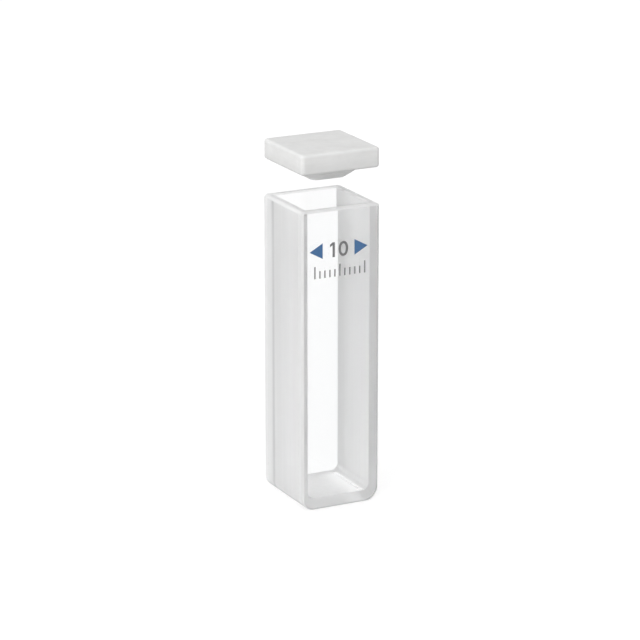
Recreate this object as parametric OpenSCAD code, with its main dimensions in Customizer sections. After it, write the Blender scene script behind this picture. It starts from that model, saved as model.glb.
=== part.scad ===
// A cell for measuring liquids with light. Two clear polished windows are fused to the two open
// sides of a frosted U-shaped frame, and a loose square lid is held above the mouth.
// Millimetres. The origin is the middle of the foot's underside, +Z is up, and the front window
// faces -Y.

/* [Cell] */
// Height of the cell, from its foot to its rim
cell_h = 45; // [25:0.5:60]
// Outside width of the cell, over both frosted side walls
cell_w = 12.5; // [10:0.5:30]
// Length of the light path, from window to window inside
light_path = 10; // [8:0.5:30]
// Thickness of each clear window
window_t = 1.25; // [0.8:0.05:2]
// Thickness of each frosted side wall
wall_t = 1.25; // [0.8:0.05:2]
// Thickness of the frosted base
base_t = 1.5; // [1:0.1:3]

/* [Ground edges] */
// Radius of the two outer corners at the foot
foot_r = 2; // [1:0.1:2.5]
// Radius of the two inner corners at the bottom of the well
well_r = 1; // [0.4:0.1:2]
// Radius of the rim's outer edges, over the side walls
rim_r = 0.5; // [0.4:0.05:0.75]
// Width of the arris ground round the outer face of each window
arris = 0.3; // [0.1:0.05:0.35]
// Width of the arris ground round the inside of the mouth
mouth_arris = 0.2; // [0.1:0.05:0.35]

/* [Lid] */
// Thickness of the lid's plate, which covers the whole rim
plate_t = 3; // [2:0.1:5]
// Radius of the plate's four upright corners
plate_corner_r = 0.6; // [0.5:0.1:1.5]
// Radius of the soft edges round the plate's top and underside
plate_edge_r = 0.4; // [0.1:0.05:0.5]
// Depth that the plug reaches below the plate
plug_depth = 1.8; // [1.2:0.1:2.5]
// Clearance on each side between the plug and the walls of the well
plug_gap = 0.3; // [0.05:0.05:0.5]
// Height of the upright band at the top of the plug, before its sides draw in
plug_band = 0.45; // [0.1:0.05:0.8]
// How far each side of the plug draws in below that band
plug_taper = 2.05; // [1:0.05:2.2]
// Radius of the plug's four corners at the upright band
plug_corner_r = 3; // [2.8:0.1:3.2]
// Radius of the soft edge round the plug's foot
plug_foot_r = 0.4; // [0.1:0.05:0.5]
// Height at which the lid's plate is held above the rim
lid_lift = 5.25; // [0:0.05:30]

/* [Fired marks] */
// Width of each blue arrowhead
mark_w = 2.1; // [1:0.1:2.2]
// Height of each blue arrowhead
mark_h = 2.3; // [1:0.1:4]
// Distance from the rim down to the middle of the arrowheads
mark_drop = 6; // [3:0.5:15]
// Distance from each arrowhead's point to the inner side of the wall beside it
mark_margin = 0.35; // [0.1:0.05:1]
// How far the pair of arrowheads sits to the side of the window's middle
mark_shift = -0.4; // [-0.5:0.1:0.5]
// Depth of the colour, which is fired into the window and flush with its face
mark_t = 0.04; // [0.02:0.01:0.1]

/* [Hidden] */
$fn = 96;

// Outside depth of the cell, over both windows
cell_d = light_path + 2 * window_t;
// Inside width of the well, between the side walls
well_w = cell_w - 2 * wall_t;
// Width and depth of the plug at its upright band
plug_w = well_w - 2 * plug_gap;
plug_d = light_path - 2 * plug_gap;
// How far a cutter runs past the face that it cuts
past = 1;

// An upright outline in X and Z: a rectangle with round corners of one radius below and another above
module upright_outline(width, low, high, low_r, high_r) {
    for (side = [-1, 1]) {
        translate([side * (width / 2 - low_r), low + low_r]) circle(low_r);
        translate([side * (width / 2 - high_r), high - high_r]) circle(high_r);
    }
    translate([-width / 2, low + low_r]) square([width, high - low - low_r - high_r]);
    translate([-width / 2 + low_r, low]) square([width - 2 * low_r, low_r]);
    translate([-width / 2 + high_r, high - high_r]) square([width - 2 * high_r, high_r]);
}

// An edge section run straight along -Y for a length, facing +X. Its child is the section, drawn
// with its reach from the corner's axis along X and its height along Y
module straight_edge(length) {
    rotate([90, 0, 0]) linear_extrude(length) children();
}

// The same section turned through the quarter from +X to +Y
module corner_edge() {
    rotate_extrude(angle = 90) children();
}

// A lying block with one edge section all round and the same radius at its four corners
module edged_block(width, depth, height, corner_r) {
    half = [width / 2 - corner_r, depth / 2 - corner_r];
    translate([-half[0], -half[1], 0]) cube([2 * half[0], 2 * half[1], height]);
    for (side = [0 : 3]) {
        out = half[side % 2];
        along = half[(side + 1) % 2];
        rotate(90 * side) translate([out, along, 0]) {
            straight_edge(2 * along) children();
            corner_edge() children();
        }
    }
}

// Section through a window's edge: flat against the frame, arrised on its outer face
module window_edge(reach) {
    polygon([[0, 0], [reach, 0], [reach, window_t - arris], [reach - arris, window_t], [0, window_t]]);
}

// A window lying on its inner face: its outline is the frame's, with the arris swept all round it
module window_plate() {
    foot_x = cell_w / 2 - foot_r;
    rim_x = cell_w / 2 - rim_r;
    side_h = cell_h - foot_r - rim_r;
    translate([-foot_x, foot_r, 0]) cube([2 * foot_x, side_h, window_t]);
    for (side = [0, 1]) mirror([side, 0, 0]) {
        translate([foot_x, foot_r + side_h, 0]) straight_edge(side_h) window_edge(foot_r);
        translate([foot_x, foot_r, 0]) rotate(-90) corner_edge() window_edge(foot_r);
        translate([rim_x, foot_r + side_h, 0]) corner_edge() window_edge(rim_r);
    }
    translate([foot_x, foot_r, 0]) rotate(-90) straight_edge(2 * foot_x) window_edge(foot_r);
    translate([-rim_x, foot_r + side_h, 0]) rotate(90) straight_edge(2 * rim_x) window_edge(rim_r);
}

// A tapered slot through the mouth, along Y, that widens to the rim and past it
module mouth_slot(width, length) {
    half = width / 2 - past;
    low = cell_h - mouth_arris - past;
    high = cell_h + past;
    rotate([90, 0, 0]) linear_extrude(length, center = true)
        polygon([[-half, low], [half, low], [half + high - low, high], [-half - high + low, high]]);
}

// The shallow square funnel that grinds the arris round the inside of the mouth
module mouth_funnel() {
    intersection() {
        mouth_slot(well_w, 2 * cell_d);
        rotate(90) mouth_slot(light_path, 2 * cell_w);
    }
}

// The frosted frame: two side walls and the base in one piece, with the well open to both windows
module u_frame() {
    color("gainsboro") difference() {
        translate([0, light_path / 2, 0]) rotate([90, 0, 0]) linear_extrude(light_path) difference() {
            upright_outline(cell_w, 0, cell_h, foot_r, rim_r);
            upright_outline(well_w, base_t, cell_h + 2 * past, well_r, past);
        }
        mouth_funnel();
    }
}

// A window stood up against the frame's front, with its share of the arris round the mouth
module upright_window() {
    difference() {
        translate([0, -light_path / 2, 0]) rotate([90, 0, 0]) window_plate();
        mouth_funnel();
    }
}

module front_window() {
    color("aliceblue", 0.5) difference() {
        upright_window();
        arrowheads(proud = past);
    }
}

module rear_window() {
    color("aliceblue", 0.5) rotate(180) upright_window();
}

// Section through the plate's edge, with its upper and lower edges rounded
module plate_edge() {
    middle = plate_corner_r - plate_edge_r;
    intersection() {
        square([plate_corner_r, plate_t]);
        union() {
            square([middle, plate_t]);
            translate([0, plate_edge_r]) square([plate_corner_r, plate_t - 2 * plate_edge_r]);
            for (level = [plate_edge_r, plate_t - plate_edge_r])
                translate([middle, level]) circle(plate_edge_r);
        }
    }
}

// Section through the plug's side: upright, then drawn in to a soft edge round its foot
module plug_edge() {
    foot = plug_corner_r - plug_taper;
    shoulder = plug_depth - plug_band;
    slant = atan2(shoulder, plug_taper);
    // Length from the sharp corner of the foot to where its rounding starts, along either side
    trim = plug_foot_r * tan(slant / 2);
    polygon([[0, 0], [foot - trim, 0], [foot + trim * cos(slant), trim * sin(slant)],
        [plug_corner_r, shoulder], [plug_corner_r, plug_depth], [0, plug_depth]]);
    translate([foot - trim, plug_foot_r]) circle(plug_foot_r);
}

// The lid, lifted straight up from the rim
module lid() {
    color("whitesmoke") translate([0, 0, cell_h + lid_lift]) {
        edged_block(cell_w, cell_d, plate_t, plate_corner_r) plate_edge();
        translate([0, 0, -plug_depth])
            edged_block(plug_w, plug_d, plug_depth, plug_corner_r) plug_edge();
    }
}

// Two arrowheads that point away from each other, from the depth of their colour out to the front
// window's face, or proud of it to cut their recesses
module arrowheads(proud = 0) {
    translate([mark_shift, mark_t - cell_d / 2, cell_h - mark_drop])
        for (side = [0, 1]) mirror([side, 0, 0]) translate([well_w / 2 - mark_margin, 0, 0])
            rotate([90, 0, 0]) linear_extrude(mark_t + proud)
                polygon([[0, 0], [-mark_w, mark_h / 2], [-mark_w, -mark_h / 2]]);
}

// The colour fired into the front window
module blue_marks() {
    color("steelblue") arrowheads();
}

u_frame();
front_window();
rear_window();
lid();
blue_marks();
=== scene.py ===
# %% [markdown]
# # Dressing a quartz cuvette and its lid
#
# A cuvette is a small square cell that holds a liquid while light is measured through it. This
# one has two polished windows, fused to the front and the rear of a frosted U-shaped frame, and a
# loose white lid above its mouth.
#
# The CAD model already has every solid at its real size. Blender only adds what CAD can't hold:
# how ground quartz, polished quartz, PTFE and fired enamel look, and the fine grey print. So the
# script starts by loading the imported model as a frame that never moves.

# %% Load the frame
import math

import bmesh
import bpy
from mathutils import Matrix, Vector


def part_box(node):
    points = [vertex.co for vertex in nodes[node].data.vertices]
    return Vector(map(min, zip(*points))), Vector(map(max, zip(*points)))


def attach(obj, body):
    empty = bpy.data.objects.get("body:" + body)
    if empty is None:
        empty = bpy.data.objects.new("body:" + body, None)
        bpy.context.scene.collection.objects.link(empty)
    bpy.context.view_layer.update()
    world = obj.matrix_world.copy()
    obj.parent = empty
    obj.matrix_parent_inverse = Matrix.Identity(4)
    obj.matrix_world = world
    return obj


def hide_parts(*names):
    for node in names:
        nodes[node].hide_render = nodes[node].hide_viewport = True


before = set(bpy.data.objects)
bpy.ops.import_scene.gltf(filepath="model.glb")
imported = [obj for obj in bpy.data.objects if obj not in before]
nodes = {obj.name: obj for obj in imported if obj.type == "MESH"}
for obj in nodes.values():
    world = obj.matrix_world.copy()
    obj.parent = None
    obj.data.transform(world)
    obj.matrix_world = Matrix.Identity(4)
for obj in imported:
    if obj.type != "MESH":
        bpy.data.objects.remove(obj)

scene = bpy.context.scene
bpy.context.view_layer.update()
MM = 0.001

# %% [markdown]
# ## Sizes that the CAD gives
#
# A dressed part stays true only if its sizes come from the frame. Each node's box gives the
# planes that the finishes and the print need: the outer face of the front window, the seam where
# a window meets the frosted frame, the rim, and the top of the lid.

# %% Planes of the cell and the lid
frame_low, frame_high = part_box("u_frame")
window_low, window_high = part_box("front_window")
lid_low, lid_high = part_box("lid")
FACE_Y = -window_low.y
SEAM_Y = frame_high.y
RIM_Z = frame_high.z
LID_TOP = lid_high.z
print(f"face {FACE_Y / MM:.2f} mm, seam {SEAM_Y / MM:.2f} mm, rim {RIM_Z / MM:.2f} mm")

# %% [markdown]
# ## The camera
#
# Small laboratory glass is shot with a long lens from a little above, which keeps its upright
# edges nearly parallel. The camera is placed by its azimuth and elevation round a point on the
# cell's axis, and it has no lens shift, so it can be swung to any other side.

# %% Camera
CAMERA_AZIMUTH = math.radians(-26.84)
CAMERA_ELEVATION = math.radians(16.68)
CAMERA_DISTANCE = 0.45
CAMERA_LENS = 173.8
CAMERA_SENSOR = 36
CAMERA_NEAR = 0.01
CAMERA_FAR = 20
AIM_HEIGHT = 26.7 * MM
AIM_LEFT = 0.2 * MM


def add_camera():
    level = math.cos(CAMERA_ELEVATION)
    back = Vector((
        math.sin(CAMERA_AZIMUTH) * level,
        -math.cos(CAMERA_AZIMUTH) * level,
        math.sin(CAMERA_ELEVATION),
    ))
    right = Vector((math.cos(CAMERA_AZIMUTH), math.sin(CAMERA_AZIMUTH), 0))
    data = bpy.data.cameras.new("camera")
    data.sensor_width = CAMERA_SENSOR
    data.lens = CAMERA_LENS
    data.clip_start = CAMERA_NEAR
    data.clip_end = CAMERA_FAR
    camera = bpy.data.objects.new("camera", data)
    scene.collection.objects.link(camera)
    camera.location = Vector((0, 0, AIM_HEIGHT)) - right * AIM_LEFT + back * CAMERA_DISTANCE
    camera.rotation_mode = "QUATERNION"
    camera.rotation_quaternion = (-back).to_track_quat("-Z", "Y")
    scene.camera = camera
    return camera


print("camera at", [round(x, 3) for x in add_camera().location])

# %% [markdown]
# ## Helpers for node trees
#
# The light, every finish and two of the pieces are small trees of nodes. They could be drawn by
# hand in the editor, but then the script wouldn't stand alone. One helper adds a node, sets its
# properties, and fills its inputs with a value or a link, so that each tree reads from top to
# bottom like a recipe. The others are the few sums that nearly every tree needs.


# %% Node helpers
def add(tree, kind, inputs=None, **settings):
    """Adds a node. An input's key is its name or number, and its value a value or a socket."""
    made = tree.nodes.new(kind)
    for name, value in settings.items():
        setattr(made, name, value)
    for key, value in (inputs or {}).items():
        if isinstance(value, bpy.types.NodeSocket):
            tree.links.new(value, made.inputs[key])
        else:
            made.inputs[key].default_value = value
    return made


def math_of(tree, operation, *values):
    return add(tree, "ShaderNodeMath", dict(enumerate(values)), operation=operation).outputs[0]


def axes_of(tree, vector):
    """The X, Y and Z of a vector, each as a socket."""
    return add(tree, "ShaderNodeSeparateXYZ", {0: vector}).outputs


def between(tree, share, low, high):
    """The low value where the share is 0, and the high value where it is 1."""
    levels = {"Value": share, "To Min": low, "To Max": high}
    return add(tree, "ShaderNodeMapRange", levels).outputs[0]


def mix_of(tree, share, first, second):
    """The first number where the share is 0, and the second where it is 1."""
    return add(tree, "ShaderNodeMix", {0: share, 2: first, 3: second}).outputs[0]


# %% [markdown]
# ## Light
#
# White things on white need very even light, or they turn into black and white shapes. The world
# is a tent of soft light, a little brighter at the sides than overhead, and one broad lamp at the
# left gives the faces their order of brightness. Nothing is lit above the level at which a colour
# renders about as it is written.
#
# The camera sees the tent as plain white, and so does a ray that has passed through quartz. A
# Light Path node does that without more light on the object.

# %% World and key lamp
TENT_SIDE = 0.97
TENT_TOP = 0.83
PLAIN_WHITE = 1.0
KEY_PLACE = Vector((-0.46, -0.30, 0.2))
KEY_POWER = 1.55
KEY_SIZE = 0.3


def add_tent():
    world = bpy.data.worlds.new("tent")
    world.use_nodes = True
    tree = world.node_tree
    way = add(tree, "ShaderNodeTexCoord").outputs["Generated"]
    level = between(tree, axes_of(tree, way)["Z"], TENT_SIDE, TENT_TOP)
    path = add(tree, "ShaderNodeLightPath").outputs
    seen = math_of(tree, "MAXIMUM", path["Is Camera Ray"], path["Is Transmission Ray"])
    background = tree.nodes["Background"]
    background.inputs["Color"].default_value = (1, 1, 1, 1)
    tree.links.new(mix_of(tree, seen, level, PLAIN_WHITE), background.inputs["Strength"])
    scene.world = world


def add_key_lamp():
    data = bpy.data.lights.new("key_softbox", "AREA")
    data.energy = KEY_POWER
    data.size = KEY_SIZE
    lamp = bpy.data.objects.new("key_softbox", data)
    scene.collection.objects.link(lamp)
    cell_middle = (frame_low + frame_high) / 2
    lamp.location = KEY_PLACE
    lamp.rotation_mode = "QUATERNION"
    lamp.rotation_quaternion = (cell_middle - KEY_PLACE).to_track_quat("-Z", "Y")
    lamp.visible_camera = False


add_tent()
add_key_lamp()
scene.view_settings.view_transform = "Standard"

# %% [markdown]
# ## The floor
#
# The cell stands on a plain pale floor. Its colour alone would render as light grey, so it gets a
# share of white that only the camera sees, and it still takes the object's soft shadow. Seen
# through the quartz or mirrored in it the floor is plain white, as the tent is, so the windows
# stay clear.

# %% Floor
FLOOR_SIZE = 4.0
FLOOR_COLOUR = 0.55
FLOOR_WHITE = 0.54
FLOOR_ROUGHNESS = 0.9


def floor_material():
    material = bpy.data.materials.new("floor_white")
    material.use_nodes = True
    tree = material.node_tree
    path = add(tree, "ShaderNodeLightPath").outputs
    paper = tree.nodes["Principled BSDF"]
    paper.inputs["Base Color"].default_value = (FLOOR_COLOUR, FLOOR_COLOUR, FLOOR_COLOUR, 1)
    paper.inputs["Roughness"].default_value = FLOOR_ROUGHNESS
    paper.inputs["Specular IOR Level"].default_value = 0
    paper.inputs["Emission Color"].default_value = (1, 1, 1, 1)
    lift = math_of(tree, "MULTIPLY", path["Is Camera Ray"], FLOOR_WHITE)
    tree.links.new(lift, paper.inputs["Emission Strength"])
    white = add(tree, "ShaderNodeEmission", {"Strength": PLAIN_WHITE})
    seen = add(tree, "ShaderNodeMixShader", {
        0: math_of(tree, "MAXIMUM", path["Is Transmission Ray"], path["Is Glossy Ray"]),
        1: paper.outputs[0],
        2: white.outputs[0],
    })
    tree.links.new(seen.outputs[0], tree.nodes["Material Output"].inputs["Surface"])
    return material


def add_floor():
    bpy.ops.mesh.primitive_plane_add(size=FLOOR_SIZE)
    floor = bpy.context.object
    floor.name = "floor"
    floor.data.materials.append(floor_material())
    return floor


print("floor:", add_floor().dimensions[:2])

# %% [markdown]
# ## Where a finish lies
#
# A finish has to know where on its piece it is: the inside of the well isn't ground like the
# outside, and an edge isn't polished like a face. Painted masks or split meshes could say that.
# Here the shader works it out from the piece's own coordinates and from the way a face is turned,
# because every piece keeps its place in its mesh.
#
# Each answer is a share, from 0 where a finish is absent to 1 where it is full. Shares are ramped,
# multiplied, and used to blend one finish into another.


# %% Shares and blends
def new_material(name):
    """A node material, its tree, its shader, and the coordinates of the piece that wears it."""
    material = bpy.data.materials.new(name)
    material.use_nodes = True
    tree = material.node_tree
    place = add(tree, "ShaderNodeTexCoord").outputs["Object"]
    return material, tree, tree.nodes["Principled BSDF"], place


def ramp(tree, value, low, high):
    """0 up to the low value, 1 from the high value on, and a slope between them."""
    ends = {"Value": value, "From Min": low, "From Max": high}
    return add(tree, "ShaderNodeMapRange", ends).outputs[0]


def product(tree, first, *others):
    """1 only where every share is 1."""
    for other in others:
        first = math_of(tree, "MULTIPLY", first, other)
    return first


def blend_of(tree, share, first, second):
    """The first colour where the share is 0, and the second where it is 1."""
    mix = add(tree, "ShaderNodeMix", data_type="RGBA")
    for key, value in (("Factor", share), ("A", first), ("B", second)):
        socket = next(s for s in mix.inputs if s.name == key and s.enabled)
        if isinstance(value, bpy.types.NodeSocket):
            tree.links.new(value, socket)
        else:
            socket.default_value = value
    return next(s for s in mix.outputs if s.enabled)


# %% [markdown]
# ## The grain of ground quartz
#
# The U-shaped frame is quartz whose faces are ground with fine grit. Light goes through such a
# face but leaves it in every direction, so the wall glows softly and nothing shows through it. The
# grit leaves a fine grain, and faint upright strokes where the wheel ran along the wall.
#
# Both are noise. Real grooves in the mesh would need millions of faces for something finer than a
# hair, so the noise only changes the tone, the roughness and the bump. The strokes are the same
# noise, stretched along the wall.

# %% Grain and strokes
GRAIN_SIZE = 0.12 * MM
STROKE_WIDTH = 0.8 * MM
STROKE_STRETCH = 0.03
NOISE_LOW = 0.3
NOISE_HIGH = 0.7


def noise(tree, place, size, detail=2, roughness=0.7):
    """Cloudy noise whose spots have the given size in metres, from 0 to 1."""
    return add(tree, "ShaderNodeTexNoise", {
        "Vector": place, "Scale": 1 / size, "Detail": detail, "Roughness": roughness,
    }).outputs[0]


def stretched(tree, place, scale):
    return add(tree, "ShaderNodeMapping", {"Vector": place, "Scale": scale}).outputs[0]


def grind_marks(tree, place):
    """Faint upright strokes of the grinding, from 0 to 1."""
    along_wall = stretched(tree, place, (1, 1, STROKE_STRETCH))
    strokes = noise(tree, along_wall, STROKE_WIDTH, detail=3, roughness=0.6)
    return ramp(tree, strokes, NOISE_LOW, NOISE_HIGH)


print(f"grain {GRAIN_SIZE / MM:.2f} mm, strokes {STROKE_WIDTH / MM:.2f} mm wide")

# %% [markdown]
# ## Walls, rim and fused ends
#
# On the real frame the grinding isn't the same all over. The well is ground a little duller than
# the outside, the rim's outer edges are rounded off, and the two ends of the frame are fused to
# the windows. One function for each part gives its share, from the frame's own planes. A side
# face is told from the rim and the ends by the way it is turned.

# %% Shares of the frame's large parts
WELL_HALF = 5.0 * MM
WELL_FLOOR = 1.5 * MM
SEAM_REACH = 0.001 * MM
LET_IN = 0.005 * MM
SIDE_TURN = (0.5, 0.9)
RIM_START = 5.8 * MM
RIM_FULL = 6.0 * MM
RIM_DROP_START = 0.5 * MM
RIM_DROP_FULL = 0.35 * MM


def well_share(tree, spot):
    """1 on the walls and the floor of the well, and 0 on the outside of the frame."""
    from_axis = math_of(tree, "ABSOLUTE", spot["X"])
    beside = math_of(tree, "LESS_THAN", from_axis, WELL_HALF + SEAM_REACH)
    above = math_of(tree, "GREATER_THAN", spot["Z"], WELL_FLOOR - SEAM_REACH)
    return product(tree, beside, above)


def side_share(tree, turn, well):
    """1 on the outer faces of the two side walls."""
    sideways = ramp(tree, math_of(tree, "ABSOLUTE", turn["X"]), *SIDE_TURN)
    return math_of(tree, "SUBTRACT", sideways, well)


def rounded_share(tree, spot):
    """1 on the round outer edges of the rim."""
    outward = ramp(tree, math_of(tree, "ABSOLUTE", spot["X"]), RIM_START, RIM_FULL)
    high = ramp(tree, spot["Z"], RIM_Z - RIM_DROP_START, RIM_Z - RIM_DROP_FULL)
    return product(tree, outward, high)


def fused_share(tree, spot):
    """1 on the two ends of the frame, which are let into the windows."""
    depth = math_of(tree, "ABSOLUTE", spot["Y"])
    return math_of(tree, "GREATER_THAN", depth, SEAM_Y + LET_IN / 2)


print(f"well {2 * WELL_HALF / MM:.1f} mm wide, its floor {WELL_FLOOR / MM:.1f} mm up")

# %% [markdown]
# ## The corners of the well
#
# Along the lower right corner of the well the heat of the fusing has glazed the floor, so a
# bright streak runs along it. The fillet beside the floor stays dull and pale. Both lie within
# one smooth bend of the mesh, so a plane can't part them, but a face's true normal can: it turns
# from level on the wall to upright on the floor.

# %% Shares of the well's corners
CORNER_TOP = 3 * MM
GLAZE_START = 1.2 * MM
GLAZE_FULL = 3.6 * MM
FLOOR_TURN = (0.75, 0.95)
FILLET_START = (0.10, 0.20)
FILLET_END = (0.85, 0.75)


def glazed_share(tree, spot, turn):
    """1 along the lower right corner of the well, and 0 away from it."""
    sideways = ramp(tree, spot["X"], GLAZE_START, GLAZE_FULL)
    upward = ramp(tree, turn["Z"], *FLOOR_TURN)
    low = math_of(tree, "LESS_THAN", spot["Z"], CORNER_TOP)
    return product(tree, sideways, upward, low)


def fillet_share(tree, spot, turn):
    """1 on the fillets between the well's floor and its walls."""
    off_wall = ramp(tree, turn["Z"], *FILLET_START)
    off_floor = ramp(tree, turn["Z"], *FILLET_END)
    low = math_of(tree, "LESS_THAN", spot["Z"], CORNER_TOP)
    return product(tree, off_wall, off_floor, low)


def frame_shares(tree, place):
    """Where a point of the frame is, and its share in each part."""
    spot = axes_of(tree, place)
    turn = axes_of(tree, add(tree, "ShaderNodeNewGeometry").outputs["True Normal"])
    well = well_share(tree, spot)
    return spot, {
        "well": well,
        "side": side_share(tree, turn, well),
        "glazed": glazed_share(tree, spot, turn),
        "fillet": fillet_share(tree, spot, turn),
        "rounded": rounded_share(tree, spot),
        "fused": fused_share(tree, spot),
        "rear": math_of(tree, "GREATER_THAN", spot["Y"], 0),
    }


print(f"glaze from {GLAZE_START / MM:.1f} to {GLAZE_FULL / MM:.1f} mm, below {CORNER_TOP / MM:.0f} mm")

# %% [markdown]
# ## The tone of the frame
#
# Clean quartz has no colour, so its tone stays near white. The strokes make it a little deeper,
# and painted shade deepens it towards the mouth, above all inside. A fine dark line of painted
# shade runs up each side face close to the rear window, where the well's inner corner shows
# through the wall.
#
# The fused ends need tones of their own. There the renderer meets the frame and a window as two
# solids one inside the other, not as one piece of quartz, and what should be one clear seam would
# turn too dark at the rear and too light at the front. At the front's foot the tone is paler,
# with painted light from the floor.

# %% Tones
FROST_PALE = (1.0, 1.0, 1.0, 1)
FROST_DEEP = (0.93, 0.93, 0.93, 1)
# Painted shade: the frame's tone deepens towards the mouth, more inside the well than outside.
MOUTH_SHADE_TONE = (0.86, 0.86, 0.86, 1)
MOUTH_SHADE_OUTSIDE = 0.3
MOUTH_SHADE_INSIDE = 0.65
# Painted shade: a dark upright line on the side faces near the rear window, where the well's inner
# corner shows through.
CORNER_SHADE_TONE = (0.70, 0.70, 0.70, 1)
CORNER_SHADE_Y = 3.15 * MM
CORNER_SHADE_FADE = 0.6 * MM
GLAZE_TONE = (1.0, 1.0, 1.0, 1)
RIM_TONE = (0.97, 0.97, 0.97, 1)
# Painted light: the front ends' tone is paler at their foot.
SEAM_FOOT_LIGHT_TONE = (0.95, 0.95, 0.95, 1)
SEAM_TONE = (0.75, 0.75, 0.75, 1)
SEAM_FOOT = 1.5 * MM
SEAM_TOP = 7 * MM
REAR_TONE = (1.0, 1.0, 1.0, 1)


def seam_tone_and_foot_light(tree, spot, rear):
    """The tone of the fused ends: paler at the front's foot than above, with painted light, and palest
    at the rear.
    """
    height = ramp(tree, spot["Z"], SEAM_FOOT, SEAM_TOP)
    return blend_of(tree, rear, blend_of(tree, height, SEAM_FOOT_LIGHT_TONE, SEAM_TONE), REAR_TONE)


def frame_tone(tree, marks, spot, share):
    tone = blend_of(tree, marks, FROST_DEEP, FROST_PALE)
    # Painted shade, deepening with height towards the mouth.
    height = math_of(tree, "DIVIDE", spot["Z"], RIM_Z)
    mouth_shade = math_of(tree, "MULTIPLY_ADD", share["well"], MOUTH_SHADE_INSIDE, MOUTH_SHADE_OUTSIDE)
    tone = blend_of(tree, product(tree, height, mouth_shade), tone, MOUTH_SHADE_TONE)
    # Painted shade of the well's inner corner, seen through the side wall.
    off_corner_shade = math_of(tree, "ABSOLUTE", math_of(tree, "SUBTRACT", spot["Y"], CORNER_SHADE_Y))
    corner_shade = product(tree, ramp(tree, off_corner_shade, CORNER_SHADE_FADE, 0), share["side"])
    tone = blend_of(tree, corner_shade, tone, CORNER_SHADE_TONE)
    tone = blend_of(tree, share["glazed"], tone, GLAZE_TONE)
    tone = blend_of(tree, share["rounded"], tone, RIM_TONE)
    return blend_of(tree, share["fused"], tone, seam_tone_and_foot_light(tree, spot, share["rear"]))


print("tones: frost", FROST_DEEP[0], "to", FROST_PALE[0], "and mouth", MOUTH_SHADE_TONE[0])

# %% [markdown]
# ## How clear and how rough the frame is
#
# Rough transmission makes the glow of a ground face: light passes the face but scatters. A share
# of plain scatter stands for the tiny cracks that the grit leaves, and it is what is missing from
# a clearness of 1. The glazed floor is smoother and quite clear, and the fillet and the rim's
# round edges are duller. Where the side faces come to the rear window, a narrow band is duller
# too, because the joint was ground flush there.

# %% Clearness and roughness
GROUND_ROUGHNESS = 0.75
GROUND_SPREAD = 0.08
GLAZE_ROUGHNESS = 0.26
FROST_CLEARNESS = 0.82
WELL_CLEARNESS = 0.76
GLAZE_CLEARNESS = 1.0
RIM_CLEARNESS = 0.5
FILLET_CLEARNESS = 0.2
JOINT_CLEARNESS = 0.65
JOINT_START = 3.85 * MM
JOINT_FULL = 4.05 * MM
SEAM_CLEARNESS = 0.82
REAR_CLEARNESS = 1.0


def frame_clearness(tree, spot, share):
    joint = product(tree, ramp(tree, spot["Y"], JOINT_START, JOINT_FULL), share["side"])
    clearness = between(tree, share["well"], FROST_CLEARNESS, WELL_CLEARNESS)
    for part, level in (
        (joint, JOINT_CLEARNESS),
        (share["glazed"], GLAZE_CLEARNESS),
        (share["rounded"], RIM_CLEARNESS),
        (share["fillet"], FILLET_CLEARNESS),
    ):
        clearness = mix_of(tree, part, clearness, level)
    fused = between(tree, share["rear"], SEAM_CLEARNESS, REAR_CLEARNESS)
    return mix_of(tree, share["fused"], clearness, fused)


def frame_roughness(tree, grain, share):
    swing = between(tree, grain, -1, 1)
    ground = math_of(tree, "MULTIPLY_ADD", swing, GROUND_SPREAD, GROUND_ROUGHNESS)
    ground = mix_of(tree, share["glazed"], ground, GLAZE_ROUGHNESS)
    return mix_of(tree, share["fused"], ground, GROUND_ROUGHNESS)


print("clearness: outside", FROST_CLEARNESS, "well", WELL_CLEARNESS, "glazed", GLAZE_CLEARNESS)

# %% [markdown]
# ## Frosted quartz
#
# The last step puts tone, clearness and roughness on one shader, with the bump of the grain. The
# index of refraction is that of fused quartz.

# %% Frosted quartz
QUARTZ_IOR = 1.458
GRAIN_BUMP = 0.15
GRAIN_HEIGHT = 0.01 * MM


def frosted_quartz():
    material, tree, shader, place = new_material("frosted_quartz")
    grain = noise(tree, place, GRAIN_SIZE)
    spot, share = frame_shares(tree, place)
    tone = frame_tone(tree, grind_marks(tree, place), spot, share)
    tree.links.new(tone, shader.inputs["Base Color"])
    tree.links.new(frame_roughness(tree, grain, share), shader.inputs["Roughness"])
    tree.links.new(frame_clearness(tree, spot, share), shader.inputs["Transmission Weight"])
    bump = add(tree, "ShaderNodeBump", {
        "Height": grain,
        "Strength": between(tree, share["glazed"], GRAIN_BUMP, 0),
        "Distance": GRAIN_HEIGHT,
    })
    tree.links.new(bump.outputs[0], shader.inputs["Normal"])
    shader.inputs["IOR"].default_value = QUARTZ_IOR
    return material


frosted = frosted_quartz()
print(f"{frosted.name}: {len(frosted.node_tree.nodes)} nodes")

# %% [markdown]
# ## Running a Geometry Nodes tree
#
# Two of the pieces are made by Geometry Nodes, where a rule makes the shape. A tree could stay on
# its object as a modifier, but each piece here is a plain mesh, so the tree is run once and then
# taken off. Its named inputs are set by their identifiers, because a modifier doesn't know their
# names. Every tree ends in the same two nodes: one makes instances real, since an instance isn't
# exported, and the other gives the result its finish.

# %% Helpers for trees and pieces
def name_inputs(tree, kind, *names):
    for name in names:
        tree.interface.new_socket(name, in_out="INPUT", socket_type=kind)


def end_tree(tree, geometry, finish):
    tree.interface.new_socket("Geometry", in_out="OUTPUT", socket_type="NodeSocketGeometry")
    real = add(tree, "GeometryNodeRealizeInstances", {0: geometry}).outputs[0]
    done = add(tree, "GeometryNodeSetMaterial", {"Geometry": real, "Material": finish})
    add(tree, "NodeGroupOutput", {0: done.outputs[0]})


def plain_mesh(carrier):
    """The mesh that an object's curve or modifiers come to."""
    evaluated = carrier.evaluated_get(bpy.context.evaluated_depsgraph_get())
    return bpy.data.meshes.new_from_object(evaluated)


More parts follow.
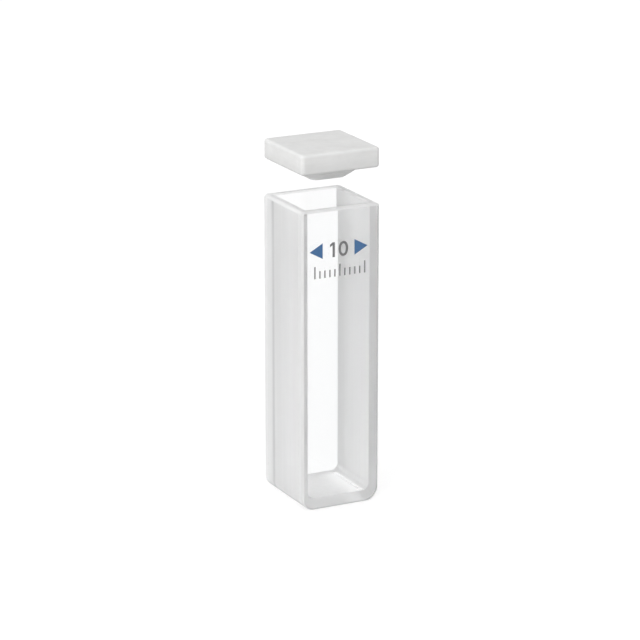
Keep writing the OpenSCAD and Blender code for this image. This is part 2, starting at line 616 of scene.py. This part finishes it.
def run_tree(name, tree, values, start=None):
    """Runs a tree on a mesh and returns a plain mesh object at the origin."""
    carrier = bpy.data.objects.new(name, start or bpy.data.meshes.new(name))
    scene.collection.objects.link(carrier)
    modifier = carrier.modifiers.new("nodes", "NODES")
    modifier.node_group = tree
    for item in tree.interface.items_tree:
        if item.in_out == "INPUT" and item.name in values:
            modifier[item.identifier] = values[item.name]
    mesh = plain_mesh(carrier)
    carrier.modifiers.clear()
    carrier.data = mesh
    mesh.name = name
    return carrier


def keep(piece, stands_for=None):
    """Says which body the piece rides on, and hides the CAD node it stands for."""
    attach(piece, "root")
    if stands_for:
        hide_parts(stands_for)
    print(f"{piece.name}: {len(piece.data.polygons)} faces")


# %% [markdown]
# ## The frosted frame
#
# On the real cell the windows are fused to the frame, so light passes from one to the other with
# no air between them. Two meshes that only touch can't show that: a ray then meets two faces at
# the same place. The cure is to let the ends of the frame a few micrometres into the windows.
#
# The CAD node's mesh stays as it is, so a copy of it stands for it here. The tree merges the copy's
# loose corners and pushes every point on a seam outwards.

# %% Let the frame into the windows
WELD_REACH = 0.0001 * MM


def let_in_tree():
    tree = bpy.data.node_groups.new("let_into_windows", "GeometryNodeTree")
    name_inputs(tree, "NodeSocketGeometry", "Geometry")
    name_inputs(tree, "NodeSocketFloat", "Seam", "Let in")
    name_inputs(tree, "NodeSocketMaterial", "Finish")
    given = add(tree, "NodeGroupInput").outputs
    merged = add(tree, "GeometryNodeMergeByDistance", {
        "Geometry": given["Geometry"], "Distance": WELD_REACH,
    })
    depth = axes_of(tree, add(tree, "GeometryNodeInputPosition").outputs[0])["Y"]
    limit = math_of(tree, "SUBTRACT", given["Seam"], SEAM_REACH)
    at_seam = math_of(tree, "GREATER_THAN", math_of(tree, "ABSOLUTE", depth), limit)
    push = math_of(tree, "MULTIPLY", math_of(tree, "SIGN", depth), given["Let in"])
    moved = add(tree, "GeometryNodeSetPosition", {
        "Geometry": merged.outputs[0],
        "Selection": at_seam,
        "Offset": add(tree, "ShaderNodeCombineXYZ", {"Y": push}).outputs[0],
    })
    end_tree(tree, moved.outputs[0], given["Finish"])
    return tree


frosted_frame = run_tree(
    "frosted_frame",
    let_in_tree(),
    {"Seam": SEAM_Y, "Let in": LET_IN, "Finish": frosted},
    nodes["u_frame"].data.copy(),
)
keep(frosted_frame, "u_frame")

# %% [markdown]
# ## The windows
#
# A window is polished on its two broad faces and ground round its edges, where it was cut. Its
# outer face ends in an arris, a narrow slope that is ground last and is the dullest of all, so
# it draws a fine frosted line round the window.
#
# One material does all three, because the place alone tells them apart: a point that lies on
# neither of the two polished planes is on a ground edge, and one that lies near the outer plane
# is on the arris.

# %% Clear quartz
POLISH_REACH = 0.003 * MM
CLEAR_COLOUR = (0.995, 0.998, 1.0, 1)
EDGE_TONE = (0.98, 0.98, 0.98, 1)
EDGE_CLEARNESS = 0.5
ARRIS_WIDTH = 0.3 * MM
ARRIS_TONE = (0.80, 0.80, 0.80, 1)
ARRIS_CLEARNESS = 0.3


def window_shares(tree, place):
    """The polished faces and the arris."""
    depth = math_of(tree, "ABSOLUTE", axes_of(tree, place)["Y"])
    outer = math_of(tree, "GREATER_THAN", depth, FACE_Y - POLISH_REACH)
    inner = math_of(tree, "LESS_THAN", depth, SEAM_Y + POLISH_REACH)
    arris = math_of(tree, "GREATER_THAN", depth, FACE_Y - ARRIS_WIDTH)
    return math_of(tree, "MAXIMUM", outer, inner), arris


def clear_quartz():
    material, tree, shader, place = new_material("clear_quartz")
    polished, arris = window_shares(tree, place)
    tone = blend_of(tree, arris, EDGE_TONE, ARRIS_TONE)
    tree.links.new(blend_of(tree, polished, tone, CLEAR_COLOUR), shader.inputs["Base Color"])
    grain = noise(tree, place, GRAIN_SIZE)
    ground = between(tree, grain, GROUND_ROUGHNESS - GROUND_SPREAD, GROUND_ROUGHNESS + GROUND_SPREAD)
    tree.links.new(mix_of(tree, polished, ground, 0.0), shader.inputs["Roughness"])
    edge = between(tree, arris, EDGE_CLEARNESS, ARRIS_CLEARNESS)
    tree.links.new(mix_of(tree, polished, edge, 1.0), shader.inputs["Transmission Weight"])
    shader.inputs["IOR"].default_value = QUARTZ_IOR
    return material


def dress(node_name, material):
    """Gives a CAD node its finish. The node's mesh stays as it is."""
    slots = nodes[node_name].data.materials
    slots.clear()
    slots.append(material)
    print(f"{node_name}: {material.name}")


clear = clear_quartz()
dress("front_window", clear)
dress("rear_window", clear)

# %% [markdown]
# ## The lid
#
# The lid is moulded from PTFE, a waxy white plastic whose tone is slightly uneven: soft clouds in
# the plastic and faint lying streaks. The plate's sides get painted shade, deeper towards their
# underside. The clouds and the streaks are noise of two sizes, added in fixed shares. The painted
# shade follows the height, and it stops at the plate's underside, so that the plug keeps its own tone.

# %% Tone of the lid
PTFE_PALE = (0.75, 0.75, 0.745, 1)
PTFE_DEEP = (0.67, 0.67, 0.665, 1)
# Painted shade on the lower part of the plate's sides.
PTFE_SHADE_TONE = (0.60, 0.60, 0.595, 1)
CLOUD_SIZE = 3 * MM
CLOUD_SHARE = 0.65
STREAK_WIDTH = 0.4 * MM
STREAK_STRETCH = 0.15
STREAK_SHARE = 0.35
PLATE_THICKNESS = 3 * MM
PLATE_SHADE_HEIGHT = 1.8 * MM
PLATE_SHADE = 0.7


def ptfe_clouds(tree, place, cloud):
    """The clouds and the streaks together, from 0 to 1."""
    lying = stretched(tree, place, (STREAK_STRETCH, STREAK_STRETCH, 1))
    streaks = noise(tree, lying, STREAK_WIDTH)
    clouds = math_of(tree, "MULTIPLY", cloud, CLOUD_SHARE)
    share = math_of(tree, "MULTIPLY_ADD", streaks, STREAK_SHARE, clouds)
    return ramp(tree, share, NOISE_LOW, NOISE_HIGH)


def plate_shade(tree, place):
    """Painted shade: 0 on the plate's top and on the plug, and most at the lower edge of the plate's
    sides.
    """
    height = axes_of(tree, place)["Z"]
    foot = LID_TOP - PLATE_THICKNESS
    on_plate = math_of(tree, "GREATER_THAN", height, foot - SEAM_REACH)
    return product(tree, ramp(tree, height, foot + PLATE_SHADE_HEIGHT, foot), on_plate, PLATE_SHADE)


print(f"lid: plate from {(LID_TOP - PLATE_THICKNESS) / MM:.2f} to {LID_TOP / MM:.2f} mm")

# %% [markdown]
# ## The wax of PTFE
#
# Light sinks a little way into PTFE and comes out again, which softens the lid's edges and the
# shade under its plate. Subsurface scattering is that same process, so it makes the wax, where a
# plain white would look like chalk. The surface itself is dull, with a very fine bump.

# %% PTFE
PTFE_IOR = 1.35
PTFE_ROUGHNESS = (0.55, 0.7)
PTFE_GLOSS = 0.3
PTFE_SOFTNESS = 0.3
PTFE_DEPTH = 0.8 * MM
PTFE_RADIUS = (1, 1, 0.95)
PTFE_GRAIN = 0.15 * MM
PTFE_BUMP = 0.1
PTFE_BUMP_HEIGHT = 0.02 * MM


def ptfe():
    material, tree, shader, place = new_material("lid_ptfe")
    cloud = noise(tree, place, CLOUD_SIZE)
    tone = blend_of(tree, ptfe_clouds(tree, place, cloud), PTFE_DEEP, PTFE_PALE)
    # Painted shade towards the plate's underside.
    tone = blend_of(tree, plate_shade(tree, place), tone, PTFE_SHADE_TONE)
    tree.links.new(tone, shader.inputs["Base Color"])
    tree.links.new(between(tree, cloud, *PTFE_ROUGHNESS), shader.inputs["Roughness"])
    bump = add(tree, "ShaderNodeBump", {
        "Height": noise(tree, place, PTFE_GRAIN),
        "Strength": PTFE_BUMP,
        "Distance": PTFE_BUMP_HEIGHT,
    })
    tree.links.new(bump.outputs[0], shader.inputs["Normal"])
    shader.inputs["IOR"].default_value = PTFE_IOR
    shader.inputs["Specular IOR Level"].default_value = PTFE_GLOSS
    shader.inputs["Subsurface Weight"].default_value = PTFE_SOFTNESS
    shader.inputs["Subsurface Radius"].default_value = PTFE_RADIUS
    shader.inputs["Subsurface Scale"].default_value = PTFE_DEPTH
    return material


dress("lid", ptfe())

# %% [markdown]
# ## Fired colour
#
# The marks on the window are a glass colour fired into it. They are dense and smooth, with a
# slightly clouded tone and a soft gloss. Soft noise gives the clouds, and the same noise makes
# the gloss uneven, as on any fired colour. The blue and the grey differ only in their tones.

# %% Enamels
BLUE_PALE = (0.053, 0.148, 0.312, 1)
BLUE_DEEP = (0.034, 0.115, 0.268, 1)
GREY_PALE = (0.18, 0.18, 0.183, 1)
GREY_DEEP = (0.125, 0.125, 0.128, 1)
ENAMEL_CLOUD = 0.5 * MM
ENAMEL_ROUGHNESS = (0.28, 0.42)


def enamel(name, deep, pale):
    material, tree, shader, place = new_material(name)
    cloud = noise(tree, place, ENAMEL_CLOUD)
    tree.links.new(blend_of(tree, cloud, deep, pale), shader.inputs["Base Color"])
    tree.links.new(between(tree, cloud, *ENAMEL_ROUGHNESS), shader.inputs["Roughness"])
    return material


blue = enamel("blue_enamel", BLUE_DEEP, BLUE_PALE)
grey = enamel("grey_enamel", GREY_DEEP, GREY_PALE)
print("enamels:", blue.name, grey.name)

# %% [markdown]
# ## The arrowheads
#
# The two blue arrowheads fill shallow recesses in the window, so the back of the colour and the
# glass behind it share a plane. That is the same trouble as at the seams, and it has the same
# cure: a copy of the marks has its back let a few micrometres into the glass. The colour then
# shows blue from behind as well.


# %% Let the colour into the window
def close_seams(mesh):
    """Merges the loose corners that neighbouring faces share, and turns all faces outwards."""
    work = bmesh.new()
    work.from_mesh(mesh)
    bmesh.ops.remove_doubles(work, verts=work.verts, dist=WELD_REACH)
    bmesh.ops.recalc_face_normals(work, faces=work.faces)
    work.to_mesh(mesh)
    work.free()


def add_piece(name, mesh, material):
    mesh.name = name
    mesh.materials.clear()
    mesh.materials.append(material)
    piece = bpy.data.objects.new(name, mesh)
    scene.collection.objects.link(piece)
    return piece


def let_in_marks(mesh):
    close_seams(mesh)
    for corner in mesh.vertices:
        if corner.co.y > SEAM_REACH - FACE_Y:
            corner.co.y += LET_IN
    return mesh


arrowheads = add_piece("arrowheads", let_in_marks(nodes["blue_marks"].data.copy()), blue)
keep(arrowheads, "blue_marks")

# %% [markdown]
# ## The numeral
#
# Between the two blue arrowheads stands a plain 10, the length of the light path in millimetres.
# A text object would do, but the built-in font draws its 1 as a bare bar, so both digits are drawn
# here as the outlines of one flat curve: seven corners for the 1, and two ovals for the 0.

# %% Draw the digits
NUMERAL_HEIGHT = 2.2 * MM
STROKE = 0.36 * MM
FLAG_REACH = 0.42 * MM
FLAG_FALL = 0.30 * MM
FLAG_TIP = 0.38 * MM
FLAG_JOINT = 0.03 * MM
ZERO_WIDTH = 1.5 * MM
DIGIT_SPACE = 0.62 * MM
OVAL_FULLNESS = 0.62


def draw_one(curve):
    """The digit 1: an upright bar with a slanted flag at its top."""
    top = NUMERAL_HEIGHT
    corners = [
        (0, 0), (STROKE, 0), (STROKE, top), (0, top),
        (-FLAG_REACH, top - FLAG_FALL),
        (-FLAG_REACH, top - FLAG_FALL - FLAG_TIP),
        (0, top - FLAG_TIP - FLAG_JOINT),
    ]
    spline = curve.splines.new("POLY")
    spline.points.add(len(corners) - 1)
    spline.use_cyclic_u = True
    for point, (x, y) in zip(spline.points, corners):
        point.co = (x, y, 0, 1)


def draw_oval(curve, middle, half_width, half_height):
    """One closed oval of four points, a little fuller than an ellipse."""
    spline = curve.splines.new("BEZIER")
    spline.bezier_points.add(3)
    spline.use_cyclic_u = True
    for point, (x, y) in zip(spline.bezier_points, ((1, 0), (0, 1), (-1, 0), (0, -1))):
        reach = Vector((-y * half_width, x * half_height, 0)) * OVAL_FULLNESS
        point.co = Vector((middle + x * half_width, NUMERAL_HEIGHT / 2 + y * half_height, 0))
        point.handle_left_type = point.handle_right_type = "FREE"
        point.handle_left = point.co - reach
        point.handle_right = point.co + reach


print(f"digits {NUMERAL_HEIGHT / MM:.1f} mm high, strokes {STROKE / MM:.2f} mm wide")

# %% [markdown]
# ## Print on the glass
#
# The grey print lies on the window's face, as thin as a real print looks: proud of the face by
# fifteen micrometres, and sunk five into it, so that no two faces share a plane. It is drawn flat
# and made a mesh, and only then stood up against the window, because a piece's place has to be in
# its mesh.

# %% Numeral 10
PRINT_PROUD = 0.015 * MM
PRINT_SUNK = 0.005 * MM
CURVE_STEPS = 12
NUMERAL_X = -0.35 * MM
NUMERAL_Z = 39.0 * MM


def upright(mesh, x, z):
    """Stands a print mesh up on the window's face, with its middle at x and z."""
    mesh.transform(Matrix.Rotation(math.pi / 2, 4, "X"))
    low = Vector(map(min, zip(*(v.co for v in mesh.vertices))))
    high = Vector(map(max, zip(*(v.co for v in mesh.vertices))))
    middle = (low + high) / 2
    mesh.transform(Matrix.Translation((x - middle.x, -FACE_Y - PRINT_PROUD - low.y, z - middle.z)))


def numeral_mesh():
    curve = bpy.data.curves.new("numeral_10", "CURVE")
    curve.dimensions = "2D"
    curve.fill_mode = "BOTH"
    curve.extrude = (PRINT_PROUD + PRINT_SUNK) / 2
    curve.resolution_u = CURVE_STEPS
    draw_one(curve)
    middle = STROKE + DIGIT_SPACE + ZERO_WIDTH / 2
    for inset in (0, STROKE):
        draw_oval(curve, middle, ZERO_WIDTH / 2 - inset, NUMERAL_HEIGHT / 2 - inset)
    carrier = bpy.data.objects.new("numeral_curve", curve)
    scene.collection.objects.link(carrier)
    mesh = plain_mesh(carrier)
    bpy.data.objects.remove(carrier)
    close_seams(mesh)
    upright(mesh, NUMERAL_X, NUMERAL_Z)
    return mesh


numeral = add_piece("numeral_10", numeral_mesh(), grey)
keep(numeral)
print("numeral:", [round(x / MM, 2) for x in numeral.dimensions])

# %% [markdown]
# ## The scale
#
# Under the numeral runs a short scale of ten parts. Its ticks repeat by a rule, so Geometry Nodes
# makes them: a line of points, a small block on each, and every fifth block taller than the rest.

# %% Scale of ticks
TICK_COUNT = 11
LONG_EVERY = 5
SAME_STEP = 0.5
TICK_PITCH = 0.8 * MM
TICK_WIDTH = 0.2 * MM
TICK_SHORT = 1.1 * MM
TICK_LONG = 1.8 * MM
SCALE_X = -0.2 * MM
SCALE_Z = 35.9 * MM


def tick_stretch(tree, given):
    """1 for a short tick, and the ratio of long to short for every fifth one."""
    index = add(tree, "GeometryNodeInputIndex").outputs[0]
    step = math_of(tree, "MODULO", index, given["Long every"])
    is_long = math_of(tree, "COMPARE", step, 0, SAME_STEP)
    gain = math_of(tree, "SUBTRACT", math_of(tree, "DIVIDE", given["Long"], given["Short"]), 1)
    return math_of(tree, "MULTIPLY_ADD", is_long, gain, 1)


def tick_block(tree, given):
    """One short tick, standing on its foot."""
    size = add(tree, "ShaderNodeCombineXYZ", {
        "X": given["Width"], "Y": given["Short"], "Z": given["Thickness"],
    }).outputs[0]
    block = add(tree, "GeometryNodeMeshCube", {"Size": size}).outputs[0]
    half_up = add(tree, "ShaderNodeCombineXYZ", {"Y": math_of(tree, "MULTIPLY", given["Short"], 0.5)})
    footed = {"Geometry": block, "Translation": half_up.outputs[0]}
    return add(tree, "GeometryNodeTransform", footed).outputs[0]


def scale_tree():
    tree = bpy.data.node_groups.new("tick_scale", "GeometryNodeTree")
    name_inputs(tree, "NodeSocketInt", "Ticks", "Long every")
    name_inputs(tree, "NodeSocketFloat", "Pitch", "Width", "Short", "Long", "Thickness")
    name_inputs(tree, "NodeSocketMaterial", "Finish")
    given = add(tree, "NodeGroupInput").outputs
    step = add(tree, "ShaderNodeCombineXYZ", {"X": given["Pitch"]}).outputs[0]
    points = add(tree, "GeometryNodeMeshLine", {"Count": given["Ticks"], "Offset": step})
    scale = add(tree, "ShaderNodeCombineXYZ", {"X": 1, "Y": tick_stretch(tree, given), "Z": 1})
    ticks = add(tree, "GeometryNodeInstanceOnPoints", {
        "Points": points.outputs[0],
        "Instance": tick_block(tree, given),
        "Scale": scale.outputs[0],
    })
    end_tree(tree, ticks.outputs[0], given["Finish"])
    return tree


print(f"scale: {TICK_COUNT} ticks, {TICK_PITCH / MM:.1f} mm apart")
tick_scale = run_tree("tick_scale", scale_tree(), {
    "Ticks": TICK_COUNT,
    "Long every": LONG_EVERY,
    "Pitch": TICK_PITCH,
    "Width": TICK_WIDTH,
    "Short": TICK_SHORT,
    "Long": TICK_LONG,
    "Thickness": PRINT_PROUD + PRINT_SUNK,
    "Finish": grey,
})
upright(tick_scale.data, SCALE_X, SCALE_Z)
keep(tick_scale)

# %% [markdown]
# ## How deep light is followed
#
# Light that enters a ground wall may bounce inside it many times before it leaves. Cycles follows
# 12 bounces unless it is told otherwise, and what it gives up on turns black, so the limit goes up.

# %% Bounces
LIGHT_BOUNCES = 32
GLOSS_BOUNCES = 8

scene.cycles.max_bounces = LIGHT_BOUNCES
scene.cycles.transmission_bounces = LIGHT_BOUNCES
scene.cycles.glossy_bounces = GLOSS_BOUNCES
print("bounces:", scene.cycles.max_bounces)
